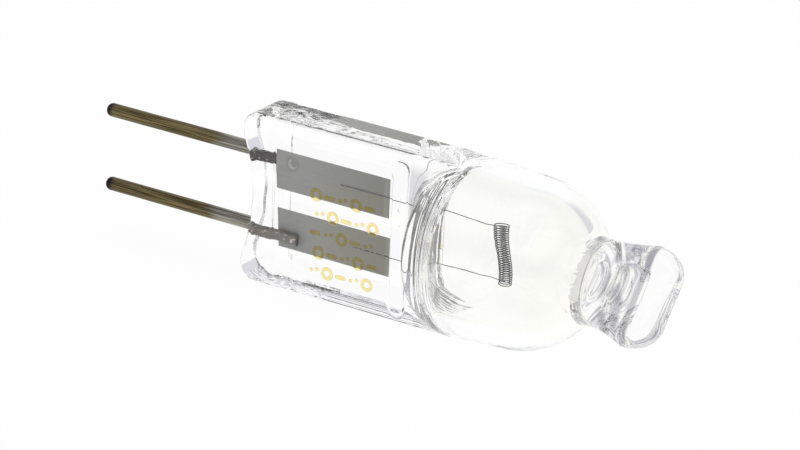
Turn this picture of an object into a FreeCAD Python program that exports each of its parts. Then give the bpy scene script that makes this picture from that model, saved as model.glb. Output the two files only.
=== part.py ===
import FreeCAD, Part
import Sketcher
import math
import os

# A two-pin halogen capsule: a quartz bulb, pinched flat round two sealing foils, with two pins and a
# coiled filament. The lamp lies on the narrow edge of its pinch. X runs along it, pins at -X and tip
# at +X, and Z is across the pins. Every sub-part is drawn with X = 0 at the pinch's pin end and the
# lamp's axis at Y = Z = 0, and is then placed on the floor.

SIZES = [
    ("bulb_radius", 4.475, "outside of the bulb, and half the pinch's width: both come from one tube"),
    ("bulb_wall", 0.85, "quartz wall of the bulb"),
    ("shoulder_radius", 2.2, "round of the bulb's shoulder"),
    ("belly_length", 8.95, "from the bulb's flat back to the straight neck"),
    ("belly_taper", 0.175, "how much smaller the dome's round is than the bulb's radius"),
    ("neck_radius", 2.15, "neck of the filling tube"),
    ("neck_fillet", 0.7, "hollow round between dome and neck"),
    ("neck_length", 1.1, "straight part of the neck"),
    ("flare_length", 1.6, "part of the tip that flattens and widens from the neck"),
    ("paddle_length", 1.7, "flat part of the tip, along which its width rounds off"),
    ("tail_width", 5.0, "width of the flattened tip"),
    ("tail_thickness", 1.7, "thickness of the flattened tip"),
    ("tail_round", 0.75, "rounding of the tip's end across its thickness"),
    ("tail_corner", 1.35, "rounding of the tip's end across its width"),
    ("tail_turn", 40.0, "turn of the tip's width from the pinch's width, in degrees"),
    ("pinch_length", 10.55, "from the pinch's pin end to the bulb's flat back"),
    ("pinch_thickness", 2.6, "thickness of the pinch between its broad faces"),
    ("pinch_corner", 0.9, "corner round of the pinch's pin end"),
    ("pinch_edge", 0.45, "rounding of the pinch's edges"),
    ("hollow_depth", 0.55, "depth of the hollow in the pinch's pin end"),
    ("lobe_width", 1.375, "width of the lobe on each side of that hollow"),
    ("runout_gap", 0.85, "from the bulb's flat back to where the pinch's narrow edges sink into it"),
    ("runout_radius", 6.0, "round of that run-out"),
    ("runout_length", 1.9, "length of that run-out"),
    ("panel_start", 2.65, "pin end of the pressed panel in the broad faces"),
    ("panel_margin", 1.125, "from the pinch's narrow edge to the pressed panel"),
    ("panel_depth", 0.08, "depth of the pressed panel"),
    ("panel_corner", 0.3, "corner round of the pressed panel"),
    ("band_gap", 0.75, "from the raised band to the bulb's flat back"),
    ("band_width", 1.03, "width of the raised band, which ends the panel"),
    ("band_margin", 0.525, "from the pinch's narrow edge to the raised band"),
    ("band_height", 0.14, "height of the raised band"),
    ("band_corner", 0.35, "corner round of the raised band"),
    ("throat_gap", 0.35, "from the bulb's flat back to where the chamber opens out of the pinch"),
    ("slit_margin", 0.725, "how much further in the chamber's side is at the pinch than in the bulb"),
    ("lead_room", 0.06, "from a lead to the face of the chamber's slit at the pinch"),
    ("bore_radius", 1.3, "blind bore that the chamber leaves in the neck"),
    ("bore_fillet", 0.6, "round between chamber and bore"),
    ("bore_reach", 0.85, "how far the blind bore's round end lies in the neck"),
    ("bubble_gap", 0.85, "from the neck's end to the middle of the oval bubble left in the tip"),
    ("bubble_radius", 0.7, "round of the bubble"),
    ("bubble_width", 2.3, "size of the bubble along the tip's width"),
    ("pin_radius", 0.35, "contact pin"),
    ("pin_spacing", 4.0, "between the pins' axes"),
    ("pin_reach", 9.15, "from the pinch's end to the pins' tips"),
    ("pin_tip_round", 0.22, "rounding of the pins' tips"),
    ("pin_overlap", 1.3, "length of a pin on its foil"),
    ("coin_gap", 0.1, "from the pinch's end to where the pins are pressed square"),
    ("coin_inset", 0.11, "how far each narrow side of a pin's sealed end is pressed in"),
    ("weld_flat", 0.1, "how far each broad side of a pin's sealed end is pressed in"),
    ("foil_start", 1.6, "pin end of the foils"),
    ("foil_length", 6.75, "length of the foils"),
    ("foil_width", 2.05, "width of the foils"),
    ("foil_spacing", 3.2, "between the foils' middle lines"),
    ("foil_thickness", 0.03, "thickness of the foils"),
    ("wire_radius", 0.04, "filament wire"),
    ("coil_place", 3.95, "from the bulb's flat back to the coil's axis"),
    ("coil_length", 3.05, "length of the coil, between the middles of its end turns"),
    ("coil_turns", 14.5, "turns of the coil"),
    ("lead_overlap", 2.85, "length of a lead on its foil"),
    ("lead_flat", 0.015, "depth of the flat on a lead where it is welded to its foil"),
]

doc = FreeCAD.newDocument("halogen_capsule_bulb")
sheet = doc.addObject("Spreadsheet::Sheet", "Sizes")
for row, (name, value, meaning) in enumerate(SIZES, start=1):
    sheet.set(f"A{row}", meaning)
    sheet.set(f"B{row}", str(value))
    sheet.setAlias(f"B{row}", name)
doc.recompute()

# Lengths that follow from the driving sizes
PINCH_FACE = "(Sizes.pinch_thickness / 2)"
BAND_END = "(Sizes.pinch_length - Sizes.band_gap)"
BAND_START = f"({BAND_END} - Sizes.band_width)"
SHOULDER_END = "(Sizes.pinch_length + Sizes.shoulder_radius)"
SHOULDER_CENTRE = "(Sizes.bulb_radius - Sizes.shoulder_radius)"
DOME_RADIUS = "(Sizes.bulb_radius - Sizes.belly_taper)"
NECK_START = "(Sizes.pinch_length + Sizes.belly_length)"
NECK_END = f"({NECK_START} + Sizes.neck_length)"
TAIL_START = f"({NECK_END} + Sizes.flare_length)"
TAIL_END = f"({TAIL_START} + Sizes.paddle_length)"
# The hollow round touches the dome and the neck, which sets the dome's centre
DOME_REACH = f"({DOME_RADIUS} + Sizes.neck_fillet)"
DOME_PLACE = f"({NECK_START} - sqrt({DOME_REACH}^2 - (Sizes.neck_radius + Sizes.neck_fillet)^2))"
CHAMBER_RADIUS = "(Sizes.bulb_radius - Sizes.bulb_wall)"
BORE_END = f"({NECK_START} + Sizes.bore_reach)"
PIN_END = "(Sizes.foil_start + Sizes.pin_overlap)"
FOIL_NEAR = "(Sizes.pin_radius - Sizes.weld_flat)"
FOIL_FAR = f"({FOIL_NEAR} + Sizes.foil_thickness)"
FOIL_END = "(Sizes.foil_start + Sizes.foil_length)"
LEAD_START = f"({FOIL_END} - Sizes.lead_overlap)"
COIL_PLACE = "(Sizes.pinch_length + Sizes.coil_place)"
# The legs run straight from the foils' outer faces to the coil's two sides, which sets the coil's radius
COIL_RADIUS = f"({FOIL_FAR} + Sizes.wire_radius - Sizes.lead_flat)"
SLIT_FACE = f"({COIL_RADIUS} + Sizes.wire_radius + Sizes.lead_room)"
LAMP_MIDDLE = f"(({TAIL_END} - Sizes.pin_reach) / 2)"
HALF_ROUND = "half round"
# How many steps the rounding of the tip's end is drawn in
TAIL_STEPS = 5


def worth(expression):
    """The value of an expression of the sheet's sizes."""
    return float(sheet.evalExpression(expression))


def bind(thing, **expressions):
    """Binds properties to expressions; a double underscore in a name stands for a dot."""
    for path, expression in expressions.items():
        thing.setExpression(path.replace("__", "."), expression)


def start_body(label):
    """A body that stands with its lamp axis one bulb radius above the floor, and its length centred."""
    body = doc.addObject("PartDesign::Body", label)
    body.Label = label
    bind(body, Placement__Base__x=f"-{LAMP_MIDDLE}", Placement__Base__z="Sizes.bulb_radius")
    return body


def start_sketch(body, name, role, lift="0", turn="0"):
    """A sketch on one of the body's origin planes, lifted along the plane's normal and turned about it."""
    sketch = body.newObject("Sketcher::SketchObject", name)
    plane = next(feature for feature in body.Origin.OriginFeatures if feature.Role == role)
    sketch.AttachmentSupport = [(plane, "")]
    sketch.MapMode = "FlatFace"
    sketch.AttachmentOffset = FreeCAD.Placement(
        FreeCAD.Vector(0, 0, worth(lift)), FreeCAD.Rotation(FreeCAD.Vector(0, 0, 1), worth(turn)))
    if lift != "0":
        bind(sketch, AttachmentOffset__Base__z=lift)
    if turn != "0":
        bind(sketch, AttachmentOffset__Rotation__Angle=turn)
    return sketch


def arc_between(start, end, radius, side):
    """The short arc between two points; side is 1 for a centre left of the way there, else -1."""
    chord = end - start
    rise = math.sqrt(max(radius ** 2 - (chord.Length / 2) ** 2, 0))
    left = FreeCAD.Vector(-chord.y, chord.x, 0).normalize()
    centre = (start + end) / 2 + left * (rise * side)
    first, last = (start, end) if side > 0 else (end, start)
    angles = [math.atan2(point.y - centre.y, point.x - centre.x) for point in (first, last)]
    return Part.ArcOfCircle(Part.Circle(centre, FreeCAD.Vector(0, 0, 1), radius), *angles)


def draw(sketch, corners):
    """A closed outline through corners (x, y) or (x, y, radius, side).

    Radius and side bend the way to the next corner into an arc. A radius of HALF_ROUND joins two
    parallel lines with a half circle.
    """
    places = [FreeCAD.Vector(worth(corner[0]), worth(corner[1]), 0) for corner in corners]
    before = sketch.GeometryCount
    ends, smooth = [], []
    for corner, start, end in zip(corners, places, places[1:] + places[:1]):
        if len(corner) == 2:
            edge = sketch.addGeometry(Part.LineSegment(start, end))
            ends.append((edge, 1, 2))
            continue
        radius, side = corner[2:]
        half_round = radius is HALF_ROUND
        length = (end - start).Length / 2 if half_round else worth(radius)
        edge = sketch.addGeometry(arc_between(start, end, length, side))
        ends.append((edge, 1, 2) if side > 0 else (edge, 2, 1))
        if half_round:
            smooth.append(edge)
            continue
        sketch.addConstraint(Sketcher.Constraint("Radius", edge, length))
        sketch.renameConstraint(sketch.ConstraintCount - 1, f"round_{edge}")
        bind(sketch, **{f"Constraints__round_{edge}": radius})
    for (edge, _, last), (after, first, _) in zip(ends, ends[1:] + ends[:1]):
        meeting = "Tangent" if after in smooth else "Coincident"
        sketch.addConstraint(Sketcher.Constraint(meeting, edge, last, after, first))
    for number, ((edge, first, _), corner) in enumerate(zip(ends, corners), start=before):
        place_point(sketch, number, edge, first, corner)


def place_point(sketch, number, edge, spot, corner):
    """Holds a point at its distances from the sketch's origin, or on an axis where one is 0."""
    for kind, axis, expression in (("DistanceX", -2, corner[0]), ("DistanceY", -1, corner[1])):
        if expression == "0":
            sketch.addConstraint(Sketcher.Constraint("PointOnObject", edge, spot, axis))
            continue
        sketch.addConstraint(Sketcher.Constraint(kind, -1, 1, edge, spot, worth(expression)))
        name = f"{kind[-1]}_{number}"
        sketch.renameConstraint(sketch.ConstraintCount - 1, name)
        bind(sketch, **{f"Constraints__{name}": expression})


def draw_circle(sketch, across, up, radius):
    """A circle with its centre at the given distances from the sketch's origin."""
    centre = FreeCAD.Vector(worth(across), worth(up), 0)
    edge = sketch.addGeometry(Part.Circle(centre, FreeCAD.Vector(0, 0, 1), worth(radius)))
    sketch.addConstraint(Sketcher.Constraint("Radius", edge, worth(radius)))
    sketch.renameConstraint(sketch.ConstraintCount - 1, "round")
    bind(sketch, Constraints__round=radius)
    place_point(sketch, 0, edge, 3, (across, up))


def rounded_box(left, right, half_height, corner):
    """Corners of a rectangle with rounded corners, clockwise, for draw."""
    low, high = f"-({half_height})", f"({half_height})"
    return [
        (left, f"{low} + {corner}"),
        (left, f"{high} - {corner}", corner, -1),
        (f"{left} + {corner}", high),
        (f"{right} - {corner}", high, corner, -1),
        (right, f"{high} - {corner}"),
        (right, f"{low} + {corner}", corner, -1),
        (f"{right} - {corner}", low),
        (f"{left} + {corner}", low, corner, -1),
    ]


def feature(body, kind, name, sketch, **settings):
    """A sketch-based feature of a body with its plain settings."""
    made = body.newObject(f"PartDesign::{kind}", name)
    made.Profile = sketch
    for setting, value in settings.items():
        setattr(made, setting, value)
    return made


def slot_corners(half_width, half_thickness):
    """Corners of a slot with round ends, anticlockwise, for draw."""
    flat = f"({half_width} - {half_thickness})"
    return [
        (f"-{flat}", f"-{half_thickness}"),
        (flat, f"-{half_thickness}", HALF_ROUND, 1),
        (flat, half_thickness),
        (f"-{flat}", half_thickness, HALF_ROUND, 1),
    ]


def quartered_circle(radius):
    """Corners of a circle drawn as four arcs, anticlockwise, for draw."""
    reach = f"({radius} * sqrt(0.5))"
    return [
        (f"-{reach}", f"-{reach}", radius, 1),
        (reach, f"-{reach}", radius, 1),
        (reach, reach, radius, 1),
        (f"-{reach}", reach, radius, 1),
    ]


def add_pinch(body):
    """The flat pinch: an outline with a hollow pin end, rounded edges, pressed panels and a raised band."""
    half = "Sizes.bulb_radius"
    hollow = f"({half} - Sizes.lobe_width)"
    hollow_round = f"(({hollow}^2 + Sizes.hollow_depth^2) / (2 * Sizes.hollow_depth))"
    sunk = f"({half} - Sizes.runout_radius + sqrt(Sizes.runout_radius^2 - Sizes.runout_length^2))"
    runout_start = "(Sizes.pinch_length + Sizes.runout_gap)"
    runout_end = f"({runout_start} + Sizes.runout_length)"
    outline = start_sketch(body, "pinch_outline", "XZ_Plane")
    draw(outline, [
        ("0", hollow),
        ("0", f"{half} - Sizes.pinch_corner", "Sizes.pinch_corner", -1),
        ("Sizes.pinch_corner", half),
        (runout_start, half, "Sizes.runout_radius", -1),
        (runout_end, sunk),
        (runout_end, f"-{sunk}", "Sizes.runout_radius", -1),
        (runout_start, f"-{half}"),
        ("Sizes.pinch_corner", f"-{half}", "Sizes.pinch_corner", -1),
        ("0", f"Sizes.pinch_corner - {half}"),
        ("0", f"-{hollow}", hollow_round, 1),
    ])
    blade = feature(body, "Pad", "pinch_blade", outline, SideType="Symmetric")
    bind(blade, Length="Sizes.pinch_thickness")
    section = start_sketch(body, "pinch_section", "YZ_Plane")
    draw(section, rounded_box(f"-{PINCH_FACE}", PINCH_FACE, half, "Sizes.pinch_edge"))
    spare = "(Sizes.pinch_edge + Sizes.pinch_thickness)"
    draw(section, rounded_box(f"-{spare}", spare, f"({half} + {spare})", "Sizes.pinch_edge"))
    feature(body, "Pocket", "pinch_edges", section, Type="ThroughAll", SideType="Symmetric")
    for side, lift, backwards in (("front", PINCH_FACE, False), ("back", f"-{PINCH_FACE}", True)):
        panel = start_sketch(body, f"{side}_panel_outline", "XZ_Plane", lift)
        draw(panel, rounded_box(
            "Sizes.panel_start", BAND_START, f"{half} - Sizes.panel_margin", "Sizes.panel_corner"))
        pressed = feature(body, "Pocket", f"{side}_panel", panel, Reversed=backwards)
        bind(pressed, Length="Sizes.panel_depth")
        band = start_sketch(body, f"{side}_band_outline", "XZ_Plane", lift)
        draw(band, rounded_box(
            BAND_START, BAND_END, f"{half} - Sizes.band_margin", "Sizes.band_corner"))
        raised = feature(body, "Pad", f"{side}_band", band, Reversed=backwards)
        bind(raised, Length="Sizes.band_height")


def belly_corners(wall, neck, hollow):
    """Corners for draw from the top of the shoulder, down the taper and the dome, to the neck.

    They lie one wall inside the bulb's outside. The taper is the line that touches both the shoulder's
    and the dome's circle, and a hollow round leads the dome into the neck.
    """
    shoulder, dome = f"(Sizes.shoulder_radius - {wall})", f"({DOME_RADIUS} - {wall})"
    centres = f"({DOME_PLACE} - {SHOULDER_END})"
    apart = f"sqrt({centres}^2 + {SHOULDER_CENTRE}^2)"
    facing = f"(acos(({shoulder} - {dome}) / {apart}) - atan({SHOULDER_CENTRE} / {centres}))"
    reach, rise = f"({dome} + {hollow})", f"({neck} + {hollow})"
    run = f"sqrt({reach}^2 - {rise}^2)"
    return [
        (SHOULDER_END, f"Sizes.bulb_radius - {wall}", shoulder, -1),
        (f"{SHOULDER_END} + {shoulder} * cos({facing})", f"{SHOULDER_CENTRE} + {shoulder} * sin({facing})"),
        (f"{DOME_PLACE} + {dome} * cos({facing})", f"{dome} * sin({facing})", dome, -1),
        (f"{DOME_PLACE} + {run} * {dome} / {reach}", f"{rise} * {dome} / {reach}", hollow, 1),
        (f"{DOME_PLACE} + {run}", neck),
    ]


def add_bulb(body):
    """The blown bulb: shoulder, tapered belly, dome and neck, turned about the lamp's axis.

    One arc makes the whole shoulder, so the first of the belly's corners is not needed.
    """
    profile = start_sketch(body, "bulb_profile", "XZ_Plane")
    draw(profile, [
        ("Sizes.pinch_length", "0"),
        ("Sizes.pinch_length", SHOULDER_CENTRE, "Sizes.shoulder_radius", -1),
        *belly_corners("0", "Sizes.neck_radius", "Sizes.neck_fillet")[1:],
        (NECK_END, "Sizes.neck_radius"),
        (NECK_END, "0"),
    ])
    feature(body, "Revolution", "bulb", profile, ReferenceAxis=(profile, ["H_Axis"]), Angle=360)


def tail_section(body, number, angle):
    """A slot across the tip, at an angle of its end rounding: 0 where it starts, 90 at the very end.

    The width follows a quarter of an ellipse as long as the paddle, the thickness a quarter of a circle.
    """
    before = f"(Sizes.paddle_length * (1 - sin({angle})))"
    width = f"(Sizes.tail_width / 2 - Sizes.tail_corner * (1 - cos({angle})))"
    sunk = f"max(0; Sizes.tail_round - {before})"
    thickness = f"(Sizes.tail_thickness / 2 - Sizes.tail_round + sqrt(Sizes.tail_round^2 - {sunk}^2))"
    place = f"{TAIL_END} - {before}"
    section = start_sketch(body, f"tail_section_{number}", "YZ_Plane", place, "-Sizes.tail_turn")
    draw(section, [(f"-({y})", x, *bend) for x, y, *bend in slot_corners(width, thickness)])
    return section


def add_tail(body):
    """The tipped-off tube: its round neck flattens into a paddle, turned about the lamp's axis.

    The paddle runs through slots that shrink towards its end, which is round both ways.
    """
    neck = start_sketch(body, "neck_section", "YZ_Plane", NECK_END, "-Sizes.tail_turn")
    draw(neck, quartered_circle("Sizes.neck_radius"))
    slots = [tail_section(body, number, 90 * number / TAIL_STEPS) for number in range(TAIL_STEPS + 1)]
    feature(body, "AdditiveLoft", "tail_flare", neck, Sections=slots[:1])
    feature(body, "AdditiveLoft", "tail_paddle", slots[0], Sections=slots[1:])


def add_chamber(body):
    """The sealed space: a slit at the pinch opens to the round chamber, with a blind bore, and a bubble."""
    slit = start_sketch(body, "slit_section", "YZ_Plane", "Sizes.pinch_length + Sizes.throat_gap")
    corners = slot_corners(f"({CHAMBER_RADIUS} - Sizes.slit_margin)", SLIT_FACE)
    draw(slit, [(f"-({y})", x, *bend) for x, y, *bend in corners])
    full = start_sketch(body, "chamber_section", "YZ_Plane", SHOULDER_END)
    draw(full, quartered_circle(CHAMBER_RADIUS))
    feature(body, "SubtractiveLoft", "chamber_throat", slit, Sections=[full])
    profile = start_sketch(body, "chamber_profile", "XZ_Plane")
    draw(profile, [
        (SHOULDER_END, "0"),
        *belly_corners("Sizes.bulb_wall", "Sizes.bore_radius", "Sizes.bore_fillet"),
        (f"{BORE_END} - Sizes.bore_radius", "Sizes.bore_radius", "Sizes.bore_radius", -1),
        (BORE_END, "0"),
    ])
    feature(body, "Groove", "chamber", profile, ReferenceAxis=(profile, ["H_Axis"]), Angle=360)
    half = "(Sizes.bubble_width / 2)"
    straight = f"({half} - Sizes.bubble_radius)"
    middle = f"{NECK_END} + Sizes.bubble_gap"
    oval = start_sketch(body, "bubble_profile", "YZ_Plane", middle, "-Sizes.tail_turn")
    draw(oval, [
        ("0", f"-{half}", "Sizes.bubble_radius", 1),
        ("Sizes.bubble_radius", f"-{straight}"),
        ("Sizes.bubble_radius", straight, "Sizes.bubble_radius", 1),
        ("0", half),
    ])
    feature(body, "Groove", "bubble", oval, ReferenceAxis=(oval, ["V_Axis"]), Angle=360)


def make_blank():
    """The quartz before the metal is pressed into it."""
    body = start_body("quartz_blank")
    add_pinch(body)
    add_bulb(body)
    add_tail(body)
    add_chamber(body)
    return body


def turn_over(body):
    """The lower pin and foil are the upper ones turned half round the lamp's axis."""
    body.Placement = FreeCAD.Placement(body.Placement.Base, FreeCAD.Rotation(FreeCAD.Vector(1, 0, 0), 180))
    bind(body, Placement__Base__x=f"-{LAMP_MIDDLE}", Placement__Base__z="Sizes.bulb_radius")


def make_pin(label):
    """A round pin with a rounded tip. Its sealed end is pressed square, to lie flat on its foil."""
    body = start_body(label)
    profile = start_sketch(body, f"{label}_profile", "XZ_Plane")
    axis = "(Sizes.pin_spacing / 2)"
    draw(profile, [
        ("-Sizes.pin_reach", axis),
        ("-Sizes.pin_reach", f"{axis} + Sizes.pin_radius - Sizes.pin_tip_round", "Sizes.pin_tip_round", -1),
        ("Sizes.pin_tip_round - Sizes.pin_reach", f"{axis} + Sizes.pin_radius"),
        ("-Sizes.coin_gap", f"{axis} + Sizes.pin_radius"),
        ("-Sizes.coin_gap", axis),
    ])
    feature(body, "Revolution", f"{label}_rod", profile, ReferenceAxis=(profile, ["Edge5"]), Angle=360)
    square = start_sketch(body, f"{label}_square_section", "YZ_Plane", "-Sizes.coin_gap")
    half = "(Sizes.pin_radius - Sizes.coin_inset)"
    low, high = f"{axis} - {half}", f"{axis} + {half}"
    front, back = f"-{FOIL_NEAR}", FOIL_NEAR
    draw(square, [(front, low), (back, low), (back, high), (front, high)])
    pressed = feature(body, "Pad", f"{label}_square", square)
    bind(pressed, Length=f"{PIN_END} + Sizes.coin_gap")
    return body


def make_foil(label):
    """A thin strip that lies on the flat of its pin."""
    body = start_body(label)
    outline = start_sketch(body, f"{label}_outline", "XZ_Plane", FOIL_NEAR)
    low = "(Sizes.foil_spacing - Sizes.foil_width) / 2"
    high = "(Sizes.foil_spacing + Sizes.foil_width) / 2"
    start = "Sizes.foil_start"
    draw(outline, [(start, low), (start, high), (FOIL_END, high), (FOIL_END, low)])
    strip = feature(body, "Pad", f"{label}_strip", outline)
    bind(strip, Length="Sizes.foil_thickness")
    return body


def make_filament():
    """One wire: a close coil across the bulb, and two straight legs, each flat where it lies on its foil.

    The coil's wire has four flat sides, which keeps its many turns light.
    """
    body = start_body("filament")
    bind(body, Placement__Base__x=f"{COIL_PLACE} - {LAMP_MIDDLE}")
    half = "(Sizes.coil_length / 2)"
    section = start_sketch(body, "coil_section", "YZ_Plane")
    outer, inner = f"(-{COIL_RADIUS} - Sizes.wire_radius)", f"(Sizes.wire_radius - {COIL_RADIUS})"
    low, high = f"({half} - Sizes.wire_radius)", f"({half} + Sizes.wire_radius)"
    draw(section, [(outer, low), (inner, low), (inner, high), (outer, high)])
    coil = feature(body, "AdditiveHelix", "coil", section, ReferenceAxis=(section, ["V_Axis"]),
                   Mode="height-turns-angle", LeftHanded=True, Reversed=True, Angle=0)
    bind(coil, Height="Sizes.coil_length", Turns="Sizes.coil_turns")
    for side, sign in (("upper", ""), ("lower", "-")):
        height = f"{sign}{half}"
        end = start_sketch(body, f"{side}_leg_section", "YZ_Plane")
        draw_circle(end, f"-({sign}{COIL_RADIUS})", height, "Sizes.wire_radius")
        leg = feature(body, "Pad", f"{side}_leg", end, Reversed=True)
        bind(leg, Length=f"{COIL_PLACE} - {LEAD_START}")
        seat = start_sketch(body, f"{side}_leg_seat", "XZ_Plane", f"{sign}{FOIL_FAR}")
        first = f"({LEAD_START} - {COIL_PLACE})"
        last = f"({FOIL_END} - {COIL_PLACE})"
        low, high = f"{height} - Sizes.wire_radius", f"{height} + Sizes.wire_radius"
        draw(seat, [(first, low), (first, high), (last, high), (last, low)])
        flat = feature(body, "Pocket", f"{side}_leg_flat", seat, Reversed=bool(sign))
        bind(flat, Length="Sizes.lead_flat")
    return body


def press_round(label, blank, groups):
    """The quartz with the metal's room in it, so that the pressed glass meets the metal face to face."""
    pressed = blank
    for name, metal in groups:
        cut = doc.addObject("Part::Cut", name)
        cut.Base = pressed
        cut.Tool = metal
        pressed = cut
    pressed.Label = label
    return pressed


def together(name, bodies):
    """Two bodies that lie apart, as one tool."""
    group = doc.addObject("Part::Compound", name)
    group.Links = bodies
    return group


blank = make_blank()
pins = [make_pin("upper_contact_pin"), make_pin("lower_contact_pin")]
foils = [make_foil("upper_foil"), make_foil("lower_foil")]
turn_over(pins[1])
turn_over(foils[1])
filament = make_filament()
doc.recompute()
envelope = press_round("quartz_envelope", blank, [
    ("quartz_round_pins", together("both_pins", pins)),
    ("quartz_round_foils", together("both_foils", foils)),
    ("quartz_round_leads", filament),
])
doc.recompute()

nodes = [envelope, *pins, *foils, filament]
for item in doc.Objects:
    if "Invalid" in item.State or "Error" in item.State:
        raise RuntimeError(f"{item.Name} failed: {item.State}")
for node in nodes:
    shape = node.Shape
    if shape.isNull() or not shape.isValid() or len(shape.Solids) != 1:
        raise RuntimeError(f"{node.Label} is not one valid solid")
    print(node.Label, round(shape.Volume, 4), shape.BoundBox)
os.makedirs("parts", exist_ok=True)
for node in nodes:
    node.Shape.exportStep(f"parts/{node.Label}.step")
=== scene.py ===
# %% [markdown]
# A low-voltage halogen capsule. Its clear quartz is one fused piece: a pinch pressed flat round two thin
# foils, a blown bulb and the flattened end of the tube that it was filled through. Two straight pins carry
# the current in, and a coiled wire glows between two thin leads.
#
# The solids come from the imported model and stay where they are. They could be painted as they are, but
# glass shows every small wave, so here each one gets a finer skin and a finish of its own.

# %% Load the frame
import math

import bpy
import numpy as np
from mathutils import Matrix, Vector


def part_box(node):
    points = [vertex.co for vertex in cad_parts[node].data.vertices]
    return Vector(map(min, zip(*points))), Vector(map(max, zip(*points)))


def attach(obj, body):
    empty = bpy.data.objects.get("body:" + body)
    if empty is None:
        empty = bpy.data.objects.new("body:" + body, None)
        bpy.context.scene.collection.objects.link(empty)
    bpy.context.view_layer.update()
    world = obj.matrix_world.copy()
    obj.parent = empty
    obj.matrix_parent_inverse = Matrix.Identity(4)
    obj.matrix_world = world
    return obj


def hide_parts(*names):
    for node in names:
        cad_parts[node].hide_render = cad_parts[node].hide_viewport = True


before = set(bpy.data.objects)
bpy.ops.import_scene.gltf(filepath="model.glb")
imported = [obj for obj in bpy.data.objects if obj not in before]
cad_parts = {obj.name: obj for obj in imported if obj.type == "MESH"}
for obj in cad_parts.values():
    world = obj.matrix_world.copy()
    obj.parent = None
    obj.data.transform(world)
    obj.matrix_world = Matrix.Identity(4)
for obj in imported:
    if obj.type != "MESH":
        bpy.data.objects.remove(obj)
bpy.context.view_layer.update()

scene = bpy.context.scene
print("nodes", sorted(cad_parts))

# %% [markdown]
# The lamp's own millimetres make every size easy to read. Its length is x from the pinch's pin end, y is
# across the thin way, with the side that is seen at -y, and z is across the pins, with the lamp's axis at
# zero. All of it could be typed in metres, but then each number would carry the model's offset. One
# function turns lamp millimetres into the frame, and the frame's own boxes give the main sizes.

# %% Lamp coordinates
MM = 0.001
quartz_low, quartz_high = (np.array(corner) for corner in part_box("quartz_envelope"))
LAMP_ORIGIN = np.array([quartz_low[0], 0.0, (quartz_low[2] + quartz_high[2]) / 2])


def in_frame(points):
    """Lamp millimetres to metres of the frame: scaled, then moved to the pinch's pin end on the axis."""
    return LAMP_ORIGIN + MM * np.asarray(points)


def lamp_box(node):
    """Lowest and highest corner of a node, in lamp millimetres."""
    return [(np.array(corner) - LAMP_ORIGIN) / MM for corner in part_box(node)]


BULB_RADIUS = (quartz_high[2] - quartz_low[2]) / 2 / MM
LAMP_END = (quartz_high[0] - quartz_low[0]) / MM
print("bulb radius", round(BULB_RADIUS, 3), "mm, quartz length", round(LAMP_END, 3), "mm")

# %% [markdown]
# A surface is a grid of points: rows along the piece and columns round it. Closing the columns makes a
# tube, and a single point at each end closes the tube to a skin. Blender's own cylinders could be bent into
# shape, but a grid keeps every point under a formula. A skin's volume tells which way its faces look: it is
# positive when they look outwards, and a hollow needs the opposite.


# %% Grids to skins
def whole_turn(steps):
    """Angles once round in equal steps, without the last one, which is the first again."""
    return np.linspace(0, 2 * math.pi, steps, endpoint=False)


def closed_skin(rows, hollow=False):
    """Points and faces of a tube of rings with a point in the middle of each end.

    The faces join each point with its neighbours in its ring and in the next ring. The sum of the
    signed volumes of all corners decides whether the order of corners has to be turned round.
    """
    count, around = rows.shape[:2]
    points = np.concatenate([rows.reshape(-1, 3), rows[0].mean(0)[None], rows[-1].mean(0)[None]])
    ring = np.arange(around)
    after = np.roll(ring, -1)
    near = np.arange(count - 1)[:, None] * around
    far = near + around
    quads = np.stack([near + ring, near + after, far + after, far + ring], -1).reshape(-1, 4)
    last = (count - 1) * around
    first_fan = np.stack([after, ring, np.full(around, count * around)], -1)
    last_fan = np.stack([last + ring, last + after, np.full(around, count * around + 1)], -1)
    fans = np.concatenate([first_fan, last_fan])
    corners = np.concatenate([quads[:, :3], quads[:, [0, 2, 3]], fans])
    a, b, c = (points[corners[:, k]] for k in range(3))
    volume = np.einsum("ij,ij->i", a, np.cross(b, c)).sum() / 6
    if (volume < 0) != hollow:
        quads, fans = quads[:, ::-1], fans[:, ::-1]
    return points, [quads, fans]


print("a turn in 64 steps goes on by", math.degrees(whole_turn(64)[1]), "degrees")

# %% [markdown]
# Several skins can share one mesh, so that the quartz has its outside and its hollows together. They could
# be separate objects that are joined later, but numbering the points on from skin to skin does it at once.
# Each piece rides on the lamp's only body and hides the solid that it stands for, if there is one.


# %% Skins to pieces
def new_piece(name, skins, material, node=None):
    """One mesh object from closed skins, riding on the lamp's only body."""
    points, faces, shift = [], [], 0
    for skin_points, skin_faces in skins:
        points.append(skin_points)
        faces += [corner for group in skin_faces for corner in (group + shift).tolist()]
        shift += len(skin_points)
    mesh = bpy.data.meshes.new(name)
    mesh.from_pydata(in_frame(np.concatenate(points)), [], faces)
    mesh.polygons.foreach_set("use_smooth", np.ones(len(faces), bool))
    mesh.materials.append(material)
    mesh.update()
    piece = bpy.data.objects.new(name, mesh)
    scene.collection.objects.link(piece)
    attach(piece, "root")
    if node:
        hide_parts(node)
    print(name, len(mesh.vertices), "points,", sum(len(face) - 2 for face in faces), "triangles")
    return piece


# %% [markdown]
# Finishes are sums and products of patterns. Nodes could be placed and linked one by one, but then the
# thought behind them is hard to see. A small class lets them be written as arithmetic: it holds a socket of
# a node tree, and each operator adds one Math node. All other nodes, such as a noise, a ramp or a mix of
# colours, come from its node method.


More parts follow.
